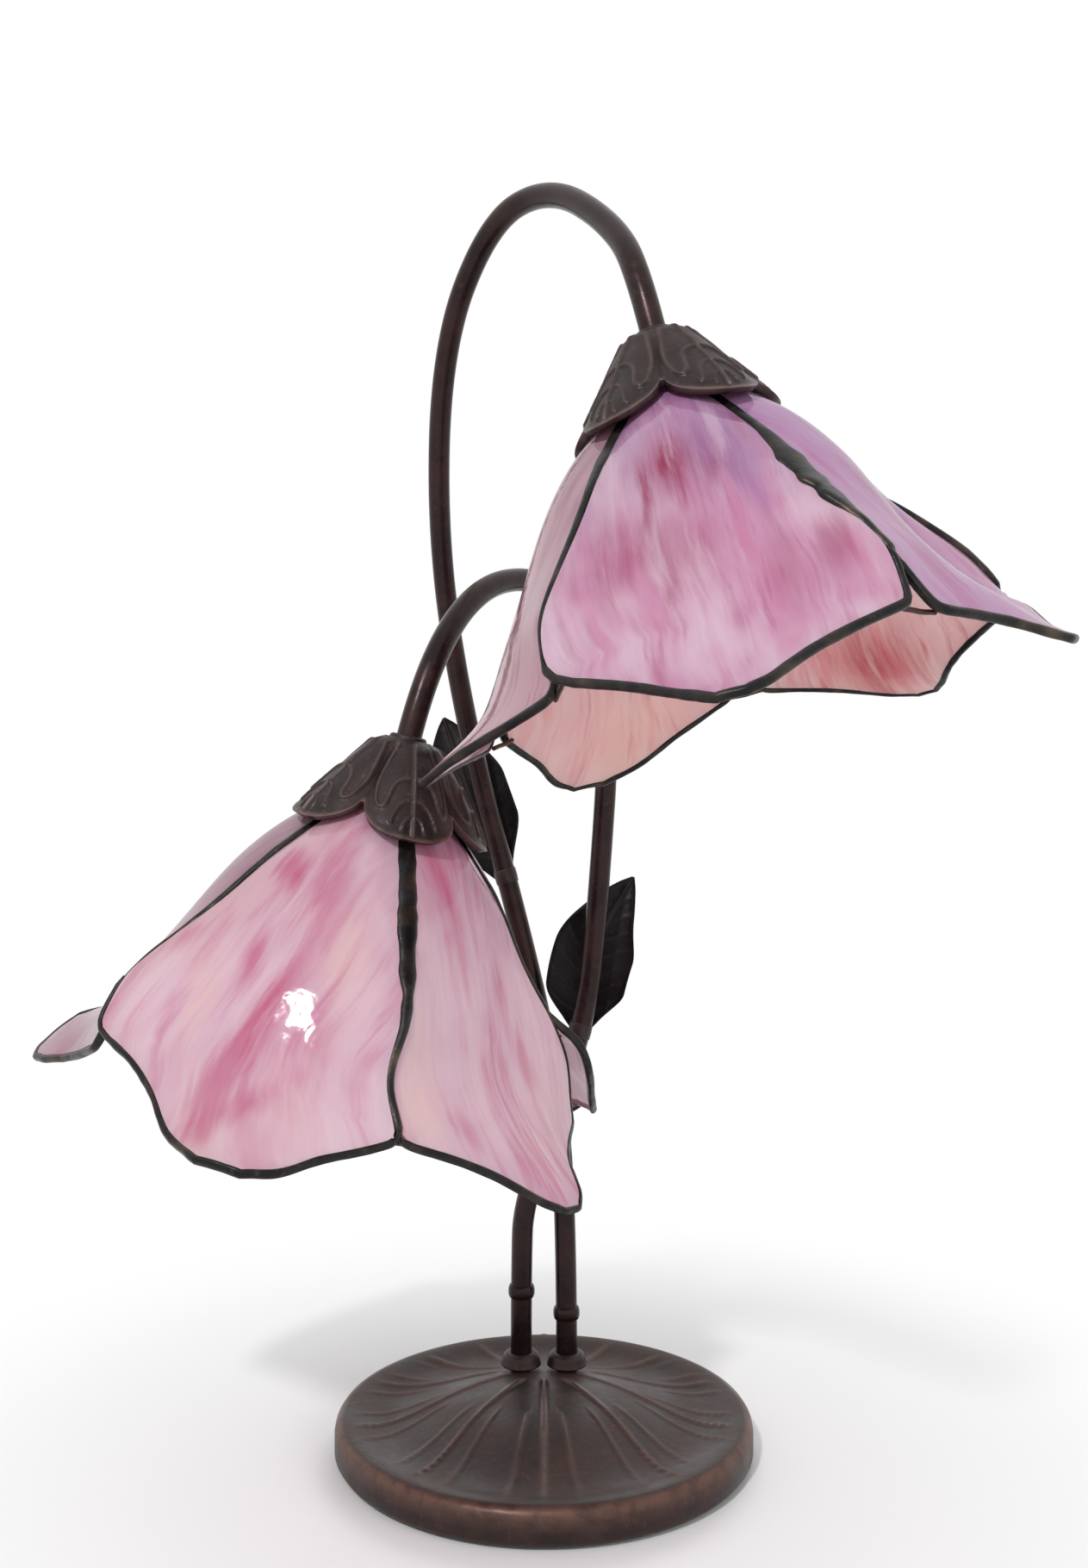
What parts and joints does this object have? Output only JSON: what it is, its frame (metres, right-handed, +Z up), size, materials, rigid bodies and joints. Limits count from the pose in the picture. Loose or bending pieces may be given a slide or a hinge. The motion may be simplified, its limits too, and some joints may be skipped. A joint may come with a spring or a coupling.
{
  "type": "table lamp",
  "caption": "Table lamp with flower shades of bent pink opal glass under cast calyxes, on crossing bronze stems with leaves and a round base",
  "frame": {"origin": "middle of the base's underside, where the felt meets the table", "axes": "+Z up, the front that the picture shows looks along -Y, +X to the right as seen from the front"},
  "size_m": [0.362, 0.3171, 0.5212],
  "materials": {
    "bronze": "satin dark brown bronze patina",
    "opal_glass": "streaky pink opal sheet, fire polished",
    "solder": "dark patinated solder",
    "copper_wire": "tinned copper, dull",
    "cast_base": "cast, dark brown patina",
    "bottom_plate": "matt black",
    "steel_fastener": "plain steel",
    "felt": "wool felt",
    "moulded_black": "matt moulded",
    "wire_cover": "plain covering",
    "socket_moulding": "moulded dark brown",
    "brass_fitting": "plain turned",
    "bulb_metal": "rolled thread",
    "bulb_glass": "frosted"
  },
  "bodies": {
    "stand": {"base_felt": "felt", "base_pad": "cast_base", "base_plate": "bottom_plate", "base_weight": "cast_base", "cord_bushing": "moulded_black", "lower_calyx": "bronze", "lower_crown_cap": "brass_fitting", "lower_leaf": "bronze", "lower_leaf_clip": "bronze", "lower_lock_nut": "steel_fastener", "lower_neck_collar": "bronze", "lower_petal_1": "opal_glass", "lower_petal_2": "opal_glass", "lower_petal_3": "opal_glass", "lower_petal_4": "opal_glass", "lower_petal_5": "opal_glass", "lower_rims": "solder", "lower_screw_shell": "brass_fitting", "lower_seams": "solder", "lower_socket_body": "socket_moulding", "lower_socket_contact": "brass_fitting", "lower_ties": "copper_wire", "plate_screws": "steel_fastener", "short_foot_collar": "bronze", "short_stem": "bronze", "short_stem_ring": "bronze", "short_wire": "wire_cover", "stem_nuts": "steel_fastener", "tall_foot_collar": "bronze", "tall_stem": "bronze", "tall_stem_ring": "bronze", "tall_wire": "wire_cover", "upper_calyx": "bronze", "upper_crown_cap": "brass_fitting", "upper_leaf": "bronze", "upper_leaf_clip": "bronze", "upper_lock_nut": "steel_fastener", "upper_neck_collar": "bronze", "upper_petal_1": "opal_glass", "upper_petal_2": "opal_glass", "upper_petal_3": "opal_glass", "upper_petal_4": "opal_glass", "upper_petal_5": "opal_glass", "upper_rims": "solder", "upper_screw_shell": "brass_fitting", "upper_seams": "solder", "upper_socket_body": "socket_moulding", "upper_socket_contact": "brass_fitting", "upper_ties": "copper_wire", "wire_caps": "moulded_black"},
    "upper_bulb": {"upper_bulb_cap": "bulb_metal", "upper_bulb_glass": "bulb_glass"},
    "lower_bulb": {"lower_bulb_cap": "bulb_metal", "lower_bulb_glass": "bulb_glass"}
  },
  "joints": [
    {"name": "upper_out", "type": "slide", "parent": "stand", "child": "upper_bulb", "axis": [0.2192, -0.0536, -0.9742], "range_m": [0, 0.1]},
    {"name": "lower_out", "type": "slide", "parent": "stand", "child": "lower_bulb", "axis": [-0.2158, 0.0049, -0.9764], "range_m": [0, 0.1]}
  ]
}
